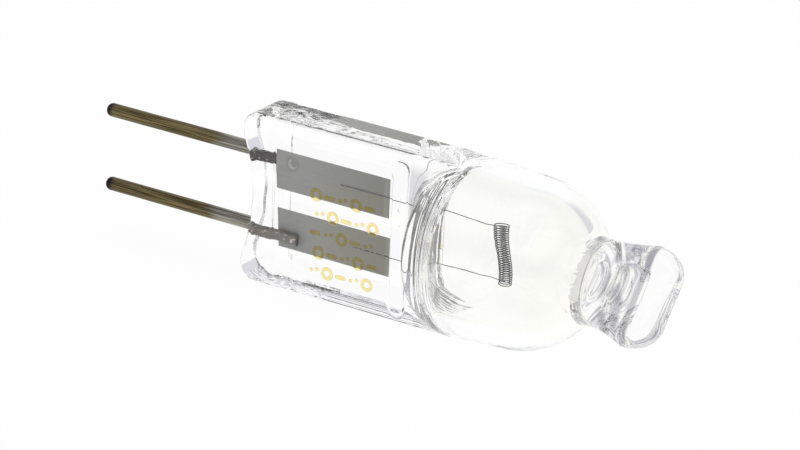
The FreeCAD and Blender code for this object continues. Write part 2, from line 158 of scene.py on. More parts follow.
# %% Shader maths
class Pattern:
    """A socket of a node tree that takes part in Python arithmetic."""

    def __init__(self, tree, socket=None):
        self.tree, self.socket = tree, socket

    def node(self, kind, settings=None, inputs=None, output=0):
        """Adds a node, sets its settings, then its inputs by name or number, and gives one output."""
        made = self.tree.nodes.new(kind)
        for setting, value in (settings or {}).items():
            if setting == "stops":
                while len(made.color_ramp.elements) < len(value):
                    made.color_ramp.elements.new(0.5)
                for element, (place, colour) in zip(made.color_ramp.elements, value):
                    element.position, element.color = place, colour
            else:
                setattr(made, setting, value)
        for name, value in (inputs or {}).items():
            if isinstance(value, Pattern):
                self.tree.links.new(value.socket, made.inputs[name])
            else:
                made.inputs[name].default_value = value
        return Pattern(self.tree, made.outputs[output] if made.outputs else None)

    def maths(self, operation, *values):
        """One Math node on patterns and numbers."""
        return self.node("ShaderNodeMath", {"operation": operation}, dict(enumerate(values)))

    def __add__(self, other):
        return self.maths("ADD", self, other)

    def __sub__(self, other):
        return self.maths("SUBTRACT", self, other)

    def __rsub__(self, other):
        return self.maths("SUBTRACT", other, self)

    def __mul__(self, other):
        return self.maths("MULTIPLY", self, other)

    __radd__, __rmul__ = __add__, __mul__

    def root(self):
        return self.maths("SQRT", self)

    def size(self):
        return self.maths("ABSOLUTE", self)

    def rise(self, low, high):
        """0 below low, 1 above high, and an even S between them."""
        smooth = {"interpolation_type": "SMOOTHSTEP"}
        return self.node("ShaderNodeMapRange", smooth, {"Value": self, "From Min": low, "From Max": high})

    def between(self, start, full, fading, end):
        """1 from full to fading, 0 before start and after end, and an even S on both sides."""
        return self.rise(start, full) * (1 - self.rise(fading, end))

    def mix(self, first, second):
        """A colour between two others, with this value as the share of the second."""
        inputs = {"Factor": self, 6: first, 7: second}
        return self.node("ShaderNodeMix", {"data_type": "RGBA"}, inputs, 2)

    def facing(self, axis):
        """How far a direction points along an axis: 1 with it, 0 across it, -1 against it."""
        return self.node("ShaderNodeVectorMath", {"operation": "DOT_PRODUCT"}, {0: self, 1: axis}, "Value")


# %% [markdown]
# Every finish starts from the same place: the surface point in lamp millimetres. Image textures would need
# an unwrapped skin, but noise and formulas on the point itself fit any shape and stay with it. Four helpers
# make a finish, feed its shader, stretch a noise along the lamp, and turn small heights into relief.


# %% Finish helpers
def new_finish(name):
    """A material, its shader node, and its patterns' starting point: lamp millimetres x, y and z."""
    material = bpy.data.materials.new(name)
    material.use_nodes = True
    start = Pattern(material.node_tree)
    place = start.node("ShaderNodeTexCoord", output="Object")
    shift = {"Location": tuple(-LAMP_ORIGIN / MM), "Scale": (1 / MM,) * 3}
    place = start.node("ShaderNodeMapping", inputs={"Vector": place, **shift})
    axes = [start.node("ShaderNodeSeparateXYZ", inputs={0: place}, output=k) for k in range(3)]
    return material, material.node_tree.nodes["Principled BSDF"], place, axes


def feed(shader, **inputs):
    """Sets or links the sockets of a shader; an underscore in a name stands for a space."""
    for name, value in inputs.items():
        socket = shader.inputs[name.replace("_", " ")]
        if isinstance(value, Pattern):
            value.tree.links.new(value.socket, socket)
        else:
            socket.default_value = value


def stretched_noise(place, scale, stretch=(1, 1, 1), detail=4.0):
    """Noise in lamp millimetres, stretched along the axes; scale is in waves per millimetre."""
    stretched = place.node("ShaderNodeMapping", inputs={"Vector": place, "Scale": stretch})
    return place.node("ShaderNodeTexNoise", inputs={"Vector": stretched, "Scale": scale, "Detail": detail})


def relief(height, strength):
    """A surface direction that is bent by small heights, given in millimetres."""
    return height.node("ShaderNodeBump", inputs={"Height": height, "Distance": MM, "Strength": strength})


print("patterns count from", np.round(LAMP_ORIGIN / MM, 3), "mm")

# %% [markdown]
# The camera stands where the picture was taken from: 208 mm away, a little above the lamp and turned
# towards its tip, with a long lens. A target empty could hold it, but three named angles and a distance
# say the same, and the small roll is written with them.

# %% Camera
AIM = np.array([1.21, 0.0, 4.574]) * MM
AZIMUTH, ELEVATION, ROLL = (math.radians(angle) for angle in (32.279, 21.840, 2.361))
DISTANCE = 207.97 * MM
FOCAL_LENGTH, SENSOR_WIDTH = 191.9, 36.0
CLIP_START = 10 * MM

look = np.array([
    math.sin(AZIMUTH) * math.cos(ELEVATION), -math.cos(AZIMUTH) * math.cos(ELEVATION), math.sin(ELEVATION)])
level = np.array([math.cos(AZIMUTH), math.sin(AZIMUTH), 0.0])
above = np.cross(look, level)
lens = bpy.data.cameras.new("camera")
lens.lens, lens.sensor_width, lens.clip_start = FOCAL_LENGTH, SENSOR_WIDTH, CLIP_START
camera = bpy.data.objects.new("camera", lens)
scene.collection.objects.link(camera)
placed = np.eye(4)
placed[:3, 0] = level * math.cos(ROLL) + above * math.sin(ROLL)
placed[:3, 1] = above * math.cos(ROLL) - level * math.sin(ROLL)
placed[:3, 2] = look
placed[:3, 3] = AIM + look * DISTANCE
camera.matrix_world = Matrix(placed.tolist())
scene.camera = camera
print("camera at", placed[:3, 3].round(4))

# %% [markdown]
# The lamp lies in a bright, even room. Clear quartz shows nothing but what it bends, so the room decides
# its greys: it is white, with a darker ring high up that leans towards the viewer, and a slightly darker
# corner behind. They make the grey and lilac lines along the quartz's edges. A picture of a studio could do
# it, but a formula of the direction is enough. Matt surfaces get one even grey instead of all this, and the
# camera sees plain white behind the lamp.

# %% Room
WHITE = (1.0, 1.0, 1.0, 1)
ROOM_LIGHT = 0.62
ROOM_LEAN = 0.45
ROOM_HEIGHTS = [
    (0.0, WHITE), (0.30, (0.86, 0.855, 0.89, 1)), (0.52, (0.36, 0.35, 0.42, 1)),
    (0.64, (0.42, 0.41, 0.47, 1)), (0.80, (0.92, 0.92, 0.94, 1)), (1.0, WHITE)]
CORNER_SIDE = (0.40, 0.90, 0.17)
CORNER_EDGE = (0.84, 0.95)
CORNER_COLOUR = (0.70, 0.69, 0.74, 1)


def ray_is(tree_start, *kinds):
    """1 for a ray of one of the named kinds, 0 for all others: the sum of its flags, held at 1."""
    flags = [tree_start.node("ShaderNodeLightPath", output=f"Is {kind} Ray") for kind in kinds]
    return sum(flags[1:], flags[0]).rise(0, 1)


world = bpy.data.worlds.new("room")
scene.world = world
world.use_nodes = True
world.node_tree.nodes.clear()
room = Pattern(world.node_tree)
direction = room.node("ShaderNodeTexCoord", output="Generated")
leaning = np.array([ROOM_LEAN * look[0], ROOM_LEAN * look[1], 1.0])
ring_axis = tuple(leaning / np.linalg.norm(leaning))
ceiling = room.node("ShaderNodeValToRGB", {"stops": ROOM_HEIGHTS}, {"Fac": direction.facing(ring_axis)})
bent = direction.facing(CORNER_SIDE).rise(*CORNER_EDGE).mix(ceiling, CORNER_COLOUR)
lit = (ROOM_LIGHT, ROOM_LIGHT, ROOM_LIGHT, 1)
colour = ray_is(room, "Camera").mix(ray_is(room, "Glossy", "Transmission").mix(lit, bent), WHITE)
background = room.node("ShaderNodeBackground", inputs={"Color": colour, "Strength": 1.0})
room.node("ShaderNodeOutputWorld", inputs={"Surface": background})
print("room light", ROOM_LIGHT, "with its ring about", np.round(ring_axis, 2))

# %% [markdown]
# A broad light hangs over the lamp and shades the pins. A sun would draw hard edges, and a small light hard
# spots. Mirrors and glass don't see it, because it would stand in them as a bright square.

# %% Overhead light
LIGHT_POWER, LIGHT_SIZE = 0.5, 0.3
LIGHT_PLACE = (0.0, 0.05, 0.4)

soft_box = bpy.data.lights.new("overhead", "AREA")
soft_box.energy, soft_box.size = LIGHT_POWER, LIGHT_SIZE
overhead = bpy.data.objects.new("overhead", soft_box)
overhead.location = LIGHT_PLACE
overhead.visible_glossy = overhead.visible_transmission = False
scene.collection.objects.link(overhead)
print("overhead light", LIGHT_POWER, "W at", LIGHT_PLACE)

# %% [markdown]
# The lamp lies on a white sheet. Plain matt white would turn grey in the render, so the sheet glows by
# itself to the eye, to mirrors and through glass, and only a faint share of it is matt and takes the soft
# shadow. Light that runs on inside the quartz is mirrored many times, so many bounces are allowed.

# %% White sheet
FLOOR_GLOW = 0.93
FLOOR_DROP = 0.02 * MM
FLOOR_HALF = 0.8
FLOOR_CORNERS = [(-1, -1), (1, -1), (1, 1), (-1, 1)]
PAPER_GREY = (0.8, 0.8, 0.8, 1)
FAINT_GREY = (1 - FLOOR_GLOW,) * 3 + (1,)
GLASS_BOUNCES = 28

sheet = bpy.data.materials.new("white_sheet")
sheet.use_nodes = True
sheet.node_tree.nodes.clear()
paper = Pattern(sheet.node_tree)
matt = paper.node("ShaderNodeBsdfDiffuse", inputs={"Color": PAPER_GREY})
faint = paper.node("ShaderNodeBsdfDiffuse", inputs={"Color": FAINT_GREY})
glow = paper.node("ShaderNodeEmission", inputs={"Color": WHITE, "Strength": FLOOR_GLOW})
bright = paper.node("ShaderNodeAddShader", inputs={0: faint, 1: glow})
shown = ray_is(paper, "Camera", "Glossy", "Transmission")
both = paper.node("ShaderNodeMixShader", inputs={0: shown, 1: matt, 2: bright})
paper.node("ShaderNodeOutputMaterial", inputs={"Surface": both})

floor_points = [(side * FLOOR_HALF, depth * FLOOR_HALF, -FLOOR_DROP) for side, depth in FLOOR_CORNERS]
floor_mesh = bpy.data.meshes.new("floor")
floor_mesh.from_pydata(floor_points, [], [(0, 1, 2, 3)])
floor_mesh.materials.append(sheet)
floor = bpy.data.objects.new("floor", floor_mesh)
scene.collection.objects.link(floor)

scene.view_settings.view_transform = "Standard"
scene.cycles.max_bounces = GLASS_BOUNCES
scene.cycles.glossy_bounces = GLASS_BOUNCES
scene.cycles.transmission_bounces = GLASS_BOUNCES
print("sheet", 2 * FLOOR_HALF, "m wide,", GLASS_BOUNCES, "bounces")

# %% [markdown]
# The quartz was a tube. Its round belly tapers to a dome, a hollow round leads the dome into the neck, and
# the inner wall follows the outer one at the wall's thickness. A drawn curve could be spun for each wall,
# but the same formula serves twice: once for the outside, and once for the chamber, one wall further in. It
# is written as the radius at each x.

# %% Bulb profile
SHOULDER_START, SHOULDER_RADIUS = 10.55, 2.2
SHOULDER_END = SHOULDER_START + SHOULDER_RADIUS
BELLY_TAPER = 0.175
DOME_RADIUS = BULB_RADIUS - BELLY_TAPER
NECK_START, NECK_RADIUS, NECK_FILLET = 19.8, 2.15, 0.7
DOME_PLACE = NECK_START - math.sqrt((DOME_RADIUS + NECK_FILLET) ** 2 - (NECK_RADIUS + NECK_FILLET) ** 2)


def belly(x, wall, neck, hollow):
    """Radius at x: a quarter round, a straight taper, the dome's circle, a hollow round and the neck."""
    shoulder, dome = SHOULDER_RADIUS - wall, DOME_RADIUS - wall
    centre = BULB_RADIUS - SHOULDER_RADIUS
    apart = math.hypot(DOME_PLACE - SHOULDER_END, centre)
    facing = math.acos((shoulder - dome) / apart) - math.atan2(centre, DOME_PLACE - SHOULDER_END)
    taper_start = SHOULDER_END + shoulder * math.cos(facing)
    taper_end = DOME_PLACE + dome * math.cos(facing)
    high, low = centre + shoulder * math.sin(facing), dome * math.sin(facing)
    reach, rise = dome + hollow, neck + hollow
    run = math.sqrt(reach ** 2 - rise ** 2)
    touch, end = DOME_PLACE + run * dome / reach, DOME_PLACE + run
    quarter = centre + np.sqrt(np.maximum(shoulder ** 2 - (x - SHOULDER_END) ** 2, 0))
    taper = high + (low - high) * (x - taper_start) / (taper_end - taper_start)
    round_dome = np.sqrt(np.maximum(dome ** 2 - (x - DOME_PLACE) ** 2, 0))
    hollow_round = rise - np.sqrt(np.maximum(hollow ** 2 - (x - end) ** 2, 0))
    choices = [x < taper_start, x < taper_end, x < touch, x < end]
    return np.select(choices, [quarter, taper, round_dome, hollow_round], neck)


print("dome centre at", round(DOME_PLACE, 3), "mm")

# %% [markdown]
# The outside of the quartz is one skin from the pin end to the tip. Joining solids with booleans would
# leave ragged edges. Instead each ring of the skin is found from distances: how far a point is from the
# flat pinch, and how far from the bulb. Where the smaller of the two is zero, there is the surface, and a
# soft minimum rounds the seam as melted glass does. These are the distances' building blocks.


# %% Distances
def even_step(value, low, high):
    """0 below low, 1 above high, and an even S between them."""
    share = np.clip((value - low) / (high - low), 0, 1)
    return share * share * (3 - 2 * share)


def even_window(value, start, full, fading, end):
    """1 from full to fading, 0 before start and after end, and an even S on both sides."""
    return even_step(value, start, full) * (1 - even_step(value, fading, end))


def rounded_box(across, up, half_across, half_up, corner):
    """Distance from a rectangle with rounded corners: negative inside."""
    over_a, over_b = np.abs(across) - half_across + corner, np.abs(up) - half_up + corner
    outside = np.hypot(np.maximum(over_a, 0), np.maximum(over_b, 0))
    return outside + np.minimum(np.maximum(over_a, over_b), 0) - corner


def soft_minimum(first, second, width):
    """The smaller of two distances, rounded where they are within a width of each other."""
    near = np.clip(0.5 + 0.5 * (second - first) / width, 0, 1)
    return second + (first - second) * near - width * near * (1 - near)


def slot_shape(y, z, half_length, half_thickness, turn=0.0):
    """Distance from a slot with round ends, its length turned from z towards y."""
    along = y * math.sin(turn) + z * math.cos(turn)
    aside = y * math.cos(turn) - z * math.sin(turn)
    flat = half_length - half_thickness
    return np.hypot(np.maximum(np.abs(along) - flat, 0), aside) - half_thickness


print("a point half a millimetre beside a box:", rounded_box(1.5, 0.0, 1.0, 1.0, 0.2))

# %% [markdown]
# Pressed glass and torn foil are never quite even. A Displace modifier could roughen a finished mesh, but
# here the unevenness has to enter the distances. A sum of sines that run in scattered directions gives
# waves without a visible beat, and fixed seeds give the same waves each time.

# %% Uneven waves
SINES = 14
WAVES = np.random.default_rng(11).normal(size=(3, SINES, 3))
PHASES = np.random.default_rng(12).uniform(0, 2 * math.pi, (3, SINES))


def crumple(x, y, z, scale, kind=0):
    """Uneven waves between about -1 and 1: a sum of sines that run in scattered directions."""
    phase = sum(scale * value[..., None] * WAVES[kind, :, axis] for axis, value in enumerate((x, y, z)))
    return np.sin(phase + PHASES[kind]).sum(-1) / 4


def dents(x, y, z, scale, kind=0):
    """The same waves between 0 and 1, cut off where they would go beyond."""
    return np.clip(0.5 + 0.5 * crumple(x, y, z, scale, kind), 0, 1)


print("waves per set", WAVES.shape[1])

# %% [markdown]
# The pinch is the end of the tube, squeezed flat between jaws while it was soft. The jaws leave a sunk panel
# and a raised band on each broad face, fine rails along the lower narrow edge, and crinkles near the pin
# end. A box with bevels could give the flat strip, but the marks are easier as changes of its half sizes.

# %% Pinch
PINCH_FACE, PINCH_EDGE, PINCH_EDGE_LOW = 1.3, 0.26, 0.14
PANEL_START, PANEL_HALF, PANEL_DEPTH, PANEL_CORNER = 1.98, 3.35, 0.08, 0.3
BAND_START, BAND_END, BAND_HALF, BAND_HEIGHT, BAND_CORNER = 8.92, 9.8, 3.95, 0.14, 0.35
RUNOUT_START, RUNOUT_RADIUS = 11.4, 6.0
STEP_SLOPE = 0.07
CRINKLE_FADE, CRINKLE_END, CRINKLE_LEAST = 2.9, 4.9, 0.12
CRINKLE_DEPTH, CRINKLE_SCALE = 0.04, 6.0
RIPPLE_DEPTH, RIPPLE_SCALE, RIPPLE_FADE = 0.03, 4.5, 0.5
RAIL_DEPTH, RAIL_STEP, RAIL_START, RAIL_FULL = 0.03, 0.34, 3.0, 5.0


def pinch_shape(x, y, z):
    """Distance from the flat pinch: a rounded strip with a pressed panel and a raised band on each face."""
    panel_middle, panel_reach = (PANEL_START + BAND_START) / 2, (BAND_START - PANEL_START) / 2
    band_middle, band_reach = (BAND_START + BAND_END) / 2, (BAND_END - BAND_START) / 2
    panel = rounded_box(x - panel_middle, z, panel_reach, PANEL_HALF, PANEL_CORNER)
    band = rounded_box(x - band_middle, z, band_reach, BAND_HALF, BAND_CORNER)
    face = PINCH_FACE - PANEL_DEPTH * even_step(-panel, -STEP_SLOPE, 0)
    face = face + BAND_HEIGHT * even_step(-band, -STEP_SLOPE, 0)
    sunk = np.clip(x - RUNOUT_START, 0, RUNOUT_RADIUS)
    half_width = BULB_RADIUS - RUNOUT_RADIUS + np.sqrt(RUNOUT_RADIUS ** 2 - sunk ** 2)
    crinkled = CRINKLE_LEAST + (1 - CRINKLE_LEAST) * (1 - even_step(x, CRINKLE_FADE, CRINKLE_END))
    beside = even_step(np.abs(z), PANEL_HALF, PANEL_HALF + RIPPLE_FADE)
    rails = even_step(x, RAIL_START, RAIL_FULL) * (z < 0) * (0.5 - 0.5 * np.cos(2 * math.pi * y / RAIL_STEP))
    half_width = half_width - RAIL_DEPTH * rails
    half_width = half_width - CRINKLE_DEPTH * crinkled * dents(x, y, z, CRINKLE_SCALE)
    face = face - RIPPLE_DEPTH * crinkled * beside * dents(x, y, z, RIPPLE_SCALE, 1)
    corner = np.where(z < 0, PINCH_EDGE_LOW, PINCH_EDGE)
    return rounded_box(y, z, face, half_width, corner)


print("panel", round(BAND_START - PANEL_START, 2), "mm long, band", round(BAND_END - BAND_START, 2), "mm")

# %% [markdown]
# Beyond the pinch comes the bulb, and beyond its neck the tip: the filling tube was melted shut there and
# squeezed to a flat paddle that stands at a slant. A loft from circle to slot could draw the tip. Blending
# the two distances does the same and needs no matching of their points.

# %% Bulb and tip
TAIL_START, TAIL_ROUND, TAIL_CORNER = 22.2, 0.75, 1.35
FLARE_START, FLARE_POWER = 20.35, 1.35
TAIL_HALF, TAIL_FACE, TAIL_TURN = 2.5, 0.85, math.radians(40)
TAIL_SAG, SAG_HEIGHTS = 0.2, (0.5, 1.5)


def bulb_shape(x, y, z):
    """Distance from the bulb: a flat back with a rounded shoulder, then the turned profile."""
    radius = np.hypot(y, z)
    back, side = SHOULDER_END - x, radius - (BULB_RADIUS - SHOULDER_RADIUS)
    outside = np.hypot(np.maximum(back, 0), np.maximum(side, 0))
    shoulder = outside + np.minimum(np.maximum(back, side), 0) - SHOULDER_RADIUS
    return np.where(x < SHOULDER_END, shoulder, radius - belly(x, 0.0, NECK_RADIUS, NECK_FILLET))


def tail_shape(x, y, z):
    """Distance from the tip: the neck's circle flattens to a slot that shrinks to a rounded end.

    The slot's width follows a quarter of an ellipse and is a little longer below, and its thickness
    follows a quarter of a circle.
    """
    flat = np.clip((x - FLARE_START) / (TAIL_START - FLARE_START), 0, 1) ** FLARE_POWER
    share = np.clip((x - TAIL_START) / (LAMP_END - TAIL_START), 0, 1)
    half = TAIL_HALF - TAIL_CORNER * (1 - np.sqrt(1 - share ** 2)) + TAIL_SAG * even_step(-z, *SAG_HEIGHTS)
    into_round = np.clip(x - (LAMP_END - TAIL_ROUND), 0, TAIL_ROUND)
    face = TAIL_FACE - TAIL_ROUND + np.sqrt(TAIL_ROUND ** 2 - into_round ** 2)
    paddle = slot_shape(y, z, half, face, TAIL_TURN)
    return (1 - flat) * (np.hypot(y, z) - NECK_RADIUS) + flat * paddle


print("tip turned by", round(math.degrees(TAIL_TURN)), "degrees")

# %% [markdown]
# Now the three join. The seam of pinch and bulb is soft across the broad faces and sharp at the narrow
# edges, where the pinch is as wide as the bulb. Blender could find such a surface with a volume and a
# remesh, but that loses the rings. Halving an interval along each ray from the axis finds the place where
# the distance is zero, for all points at once.

# %% Whole outside
SEAM_WIDTH, SEAM_SHARP = 1.2, 0.04
SEAM_SIDE, SEAM_FADE, SEAM_REACH = 4.3, 0.8, 1.0
TAIL_FROM = NECK_START + 0.3
HALVINGS, FURTHEST = 34, 6.0


def quartz_shape(x, y, z):
    """Distance from the whole outside: pinch and bulb melted together, and the tip beyond the neck."""
    width = SEAM_SHARP + (SEAM_WIDTH - SEAM_SHARP) * even_step(SEAM_SIDE - np.abs(z), 0, SEAM_FADE)
    body = soft_minimum(pinch_shape(x, y, z), bulb_shape(x, y, z), width)
    body = np.where(x > SHOULDER_END + SEAM_REACH, bulb_shape(x, y, z), body)
    return np.where(x > TAIL_FROM, tail_shape(x, y, z), body)


def find_radius(shape, x, angle):
    """Radius at which a distance is zero along each ray from the axis, by halving the interval."""
    low, high = np.zeros_like(x), np.full_like(x, FURTHEST)
    for _ in range(HALVINGS):
        middle = (low + high) / 2
        inside = shape(x, middle * np.cos(angle), middle * np.sin(angle)) < 0
        low, high = np.where(inside, middle, low), np.where(inside, high, middle)
    return (low + high) / 2


print("radii found to", FURTHEST / 2 ** HALVINGS, "mm")

# %% [markdown]
# Equal steps all over would spend faces on the smooth belly and leave too few for the edges. So rings lie
# close together where the skin bends quickly, as at the band, the shoulder and the neck. Round the lamp,
# the rays are spaced so that they suit both the flat pinch, which wants equal steps along its outline, and
# the round bulb, which wants equal angles.

# %% Rings and rays
RAY_COUNT = 288
OUTLINE_STEPS, OUTLINE_PLACE, OUTLINE_SHARE = 7201, 2.0, 0.7


def spaced(*stretches):
    """Places along x from stretches of (start, end, number of steps), each place once."""
    parts = [np.linspace(start, end, steps, endpoint=False) for start, end, steps in stretches]
    return np.concatenate(parts + [[stretches[-1][1]]])


def ray_angles(count):
    """Angles that share their steps between equal angles and equal lengths of the pinch's outline."""
    fine = np.linspace(0, 2 * math.pi, OUTLINE_STEPS)
    outline = find_radius(pinch_shape, np.full_like(fine, OUTLINE_PLACE), fine)
    path = np.stack([outline * np.cos(fine), outline * np.sin(fine)])
    length = np.concatenate([[0], np.cumsum(np.hypot(*np.diff(path)))])
    even = np.linspace(0, 1, count, endpoint=False)
    by_length = np.interp(even, length / length[-1], fine)
    return OUTLINE_SHARE * by_length + (1 - OUTLINE_SHARE) * 2 * math.pi * even


RAYS = ray_angles(RAY_COUNT)
print("widest step between rays", np.degrees(np.diff(RAYS).max()).round(2), "degrees")

# %% [markdown]
# The pin end is where the jaws pressed the glass out: two lobes stand out beside a hollow, and the corners
# are round. A straight cut could be dented afterwards. Here a row of rings follows the wavy end, and the end
# face is the outline shrunk towards its middle, with its rim rounded over.

# %% Quartz outside
END_RIM, END_BLEND = 0.16, 2.4
END_CRINKLE, END_SCALE = 0.07, 3.0
CORNER_RADIUS = 0.9
HOLLOW_DEPTH, HOLLOW_HALF = 0.55, 3.1
FACE_RINGS, FACE_MIDDLE, WAVY_RINGS, TAIL_RINGS = 18, 0.03, 40, 32
OUTSIDE_RINGS = (
    (END_BLEND, 5.0, 40), (5.0, 8.6, 24), (8.6, 8.9, 7), (8.9, 9.7, 5), (9.7, 9.95, 7),
    (9.95, 13.2, 38), (13.2, 18.6, 16), (18.6, 20.6, 24), (20.6, TAIL_START, 22))


def end_place(z):
    """x of the pin end at z: a shallow hollow between two lobes whose outer corners are round."""
    hollow = HOLLOW_DEPTH * np.maximum(1 - (z / HOLLOW_HALF) ** 2, 0)
    over = np.clip(np.abs(z) - (BULB_RADIUS - CORNER_RADIUS), 0, CORNER_RADIUS)
    ragged = END_CRINKLE * dents(0 * z, 0 * z, z, END_SCALE, 2)
    return hollow + ragged + CORNER_RADIUS - np.sqrt(CORNER_RADIUS ** 2 - over ** 2)


def quartz_rows():
    """Rings of the outside: the end face from its middle outwards, the wavy pinch, and all the rest."""
    near = np.full((1, len(RAYS)), END_BLEND)
    outline = find_radius(pinch_shape, near, RAYS[None])[0]
    edge_y, edge_z = outline * np.cos(RAYS), outline * np.sin(RAYS)
    shrink = 1 - np.linspace(1, 0, FACE_RINGS)[:, None] ** 2 * (1 - FACE_MIDDLE)
    face_y, face_z = edge_y * shrink, edge_z * shrink
    inward = np.clip(-pinch_shape(np.full_like(face_y, END_BLEND), face_y, face_z), 0, END_RIM)
    face_x = end_place(face_z) + END_RIM - np.sqrt(END_RIM ** 2 - (END_RIM - inward) ** 2)
    face = np.stack([face_x, face_y, face_z], -1)[:-1]
    wavy = np.linspace(END_RIM, END_BLEND, WAVY_RINGS)[:, None]
    wavy_x = wavy + end_place(edge_z) * (1 - even_step(wavy, END_RIM, END_BLEND))
    bend = np.linspace(0, math.pi / 2, TAIL_RINGS)[1:]
    tail = TAIL_START + (LAMP_END - TAIL_START) * np.sin(bend)
    along = np.concatenate([spaced(*OUTSIDE_RINGS)[1:], tail])
    x = np.concatenate([wavy_x, np.broadcast_to(along[:, None], (len(along), len(RAYS)))])
    angle = np.broadcast_to(RAYS, x.shape)
    radius = find_radius(quartz_shape, x, angle)
    side = np.stack([x, radius * np.cos(angle), radius * np.sin(angle)], -1)
    return np.concatenate([face, side])


outside_skin = closed_skin(quartz_rows())
print("outside", len(outside_skin[0]), "points")

# %% [markdown]
# The chamber is what the blowing left inside. It starts as a slit between the pinched walls, opens through
# a throat with fine flow lines, follows the bulb one wall further in, and ends as a blind bore in the neck.
# A Solidify modifier would give an even wall everywhere. The chamber's own distance gives each part its form.

# %% Chamber
WALL = 0.85
SLIT_START, SLIT_HALF, SLIT_FACE = 10.9, 2.55, 0.405
SLIT_DROP, SLIT_END, SLIT_LEAST = 0.35, 1.0, 0.02
THROAT_BLUNT = 1.8
FLOW_DEPTH, FLOW_LENGTH, FLOW_WANDER, FLOW_SCALE = 0.022, 0.24, 1.5, 0.7
FLOW_HEIGHTS, FLOW_SHARES = (-2.6, -1.2, 2.4, 3.2), (0, 0.1, 0.8, 1)
BORE_RADIUS, BORE_FILLET, BORE_END, BORE_ROUND = 1.3, 0.6, 20.2, 0.5
CHAMBER_RINGS = ((SLIT_START, SHOULDER_END, 72), (SHOULDER_END, 18.0, 22), (18.0, BORE_END - BORE_ROUND, 18))
BORE_RINGS = 16


def chamber_shape(x, y, z):
    """Distance from the chamber: a slit that opens to a circle, then the profile one wall further in."""
    opened = np.clip((x - SLIT_START) / (SHOULDER_END - SLIT_START), 0, 1)
    rounding = np.sqrt(1 - (1 - np.clip((x - SLIT_START) / SLIT_FACE, SLIT_LEAST, 1)) ** 2)
    core = slot_shape(y, z + SLIT_DROP, SLIT_HALF - SLIT_FACE * (1 - rounding), SLIT_END) + SLIT_END
    slit = core - SLIT_FACE * rounding
    blunt = 1 - (1 - opened) ** THROAT_BLUNT
    throat = (1 - blunt) * slit + blunt * (np.hypot(y, z) - (BULB_RADIUS - WALL))
    lines = np.sin(2 * math.pi * x / FLOW_LENGTH + FLOW_WANDER * crumple(x, y, z, FLOW_SCALE))
    lines = lines * even_window(z, *FLOW_HEIGHTS)
    throat = throat + FLOW_DEPTH * lines * even_window(opened, *FLOW_SHARES)
    past = np.clip((x - BORE_END) / BORE_ROUND + 1, 0, 1)
    bore_end = BORE_RADIUS * (1 - np.sqrt(1 - past ** 2))
    turned = np.hypot(y, z) - belly(x, WALL, BORE_RADIUS, BORE_FILLET) + bore_end
    return np.where(x < SHOULDER_END, throat, turned)


def chamber_rows():
    """Rings of the chamber's wall, from the slit to the round end of the bore."""
    bend = np.linspace(0, math.pi / 2, BORE_RINGS)[1:-1]
    bore = BORE_END + BORE_ROUND * (np.sin(bend) - 1)
    along = np.concatenate([spaced(*CHAMBER_RINGS), bore])
    x = np.broadcast_to(along[:, None], (len(along), len(RAYS) // 2))
    angle = np.broadcast_to(RAYS[::2], x.shape)
    radius = find_radius(chamber_shape, x, angle)
    return np.stack([x, radius * np.cos(angle), radius * np.sin(angle)], -1)


chamber_skin = closed_skin(chamber_rows(), hollow=True)
print("chamber", len(chamber_skin[0]), "points")

# %% [markdown]
# When the tube was melted shut, it caught a small bubble in the tip. A stretched sphere would have pointed
# ends. A capsule, which is two half balls with a straight between them, comes closer, and it lies along
# the paddle's width.

# %% Bubble
BUBBLE_PLACE, BUBBLE_RADIUS, BUBBLE_HALF = 21.15, 0.78, 1.28
BUBBLE_RINGS, BUBBLE_SIDES = 26, 48


def bubble_rows():
    """Rings of the bubble in the tip: a round capsule that lies along the tip's width."""
    swing = np.linspace(-math.pi / 2, math.pi / 2, BUBBLE_RINGS)[1:-1, None]
    turn = whole_turn(BUBBLE_SIDES)
    straight = BUBBLE_HALF - BUBBLE_RADIUS
    along = straight * np.sign(swing) + BUBBLE_RADIUS * np.sin(swing) + 0 * turn
    out = BUBBLE_RADIUS * np.cos(swing)
    aside = out * np.cos(turn)
    y = along * math.sin(TAIL_TURN) + aside * math.cos(TAIL_TURN)
    z = along * math.cos(TAIL_TURN) - aside * math.sin(TAIL_TURN)
    return np.stack([BUBBLE_PLACE + out * np.sin(turn), y, z], -1)


bubble_skin = closed_skin(bubble_rows(), hollow=True)
print("bubble", len(bubble_skin[0]), "points")

# %% [markdown]
# Quartz is almost free of colour, so its shader is clear glass. Its own small stains are a grey film with a
# toothed edge round the neck, dark specks on the band, and the faintest yellow on the chamber's wall. Three
# more tints are painted light: painted reflections of the darker room, as lilac streaks where the tip flares
# and as a lilac patch in the melted seam, and a painted shade along the crease across the paddle's front.
# Each could be a picture, but a mask made of places along the lamp, times a noise, stays sharp at any size.
# Light meets a tint on its way in and again on its way out.

# %% Quartz tints
FILM_PLACE, FILM_DEPTH, FILM_TEETH, TEETH_ROUND, TEETH_STRAY = 20.0, 0.24, 0.5, 23, 4
FILM_FADE, FILM_RADIUS, FILM_TINT = (0.1, 0.16), (1.85, 1.95), (0.60, 0.59, 0.58, 1)
CHAMBER_PLACE, CHAMBER_SIDE, CHAMBER_TINT = (10.8, 11.4, 20.4, 20.5), (3.70, 3.74), (1.0, 1.0, 0.965, 1)
FLARE_REFLECTION_PLACE, FLARE_REFLECTION_RADIUS, FLARE_REFLECTION_TINT = (20.8, 21.2, 21.9, 22.1), (1.2, 1.4), (0.34, 0.33, 0.37, 1)
CREASE_PLACE, CREASE_FRONT, CREASE_SHADE_TINT = (22.1, 22.3, 22.5, 22.62), (-0.4, -0.1), (0.36, 0.35, 0.38, 1)
MELT_PLACE, MELT_HEIGHT, MELT_FRONT = (9.85, 9.95, 10.8, 11.3), (0.5, 0.8, 3.4, 4.2), (-0.6, -0.3)
SEAM_REFLECTION_TINT = (0.52, 0.51, 0.55, 1)
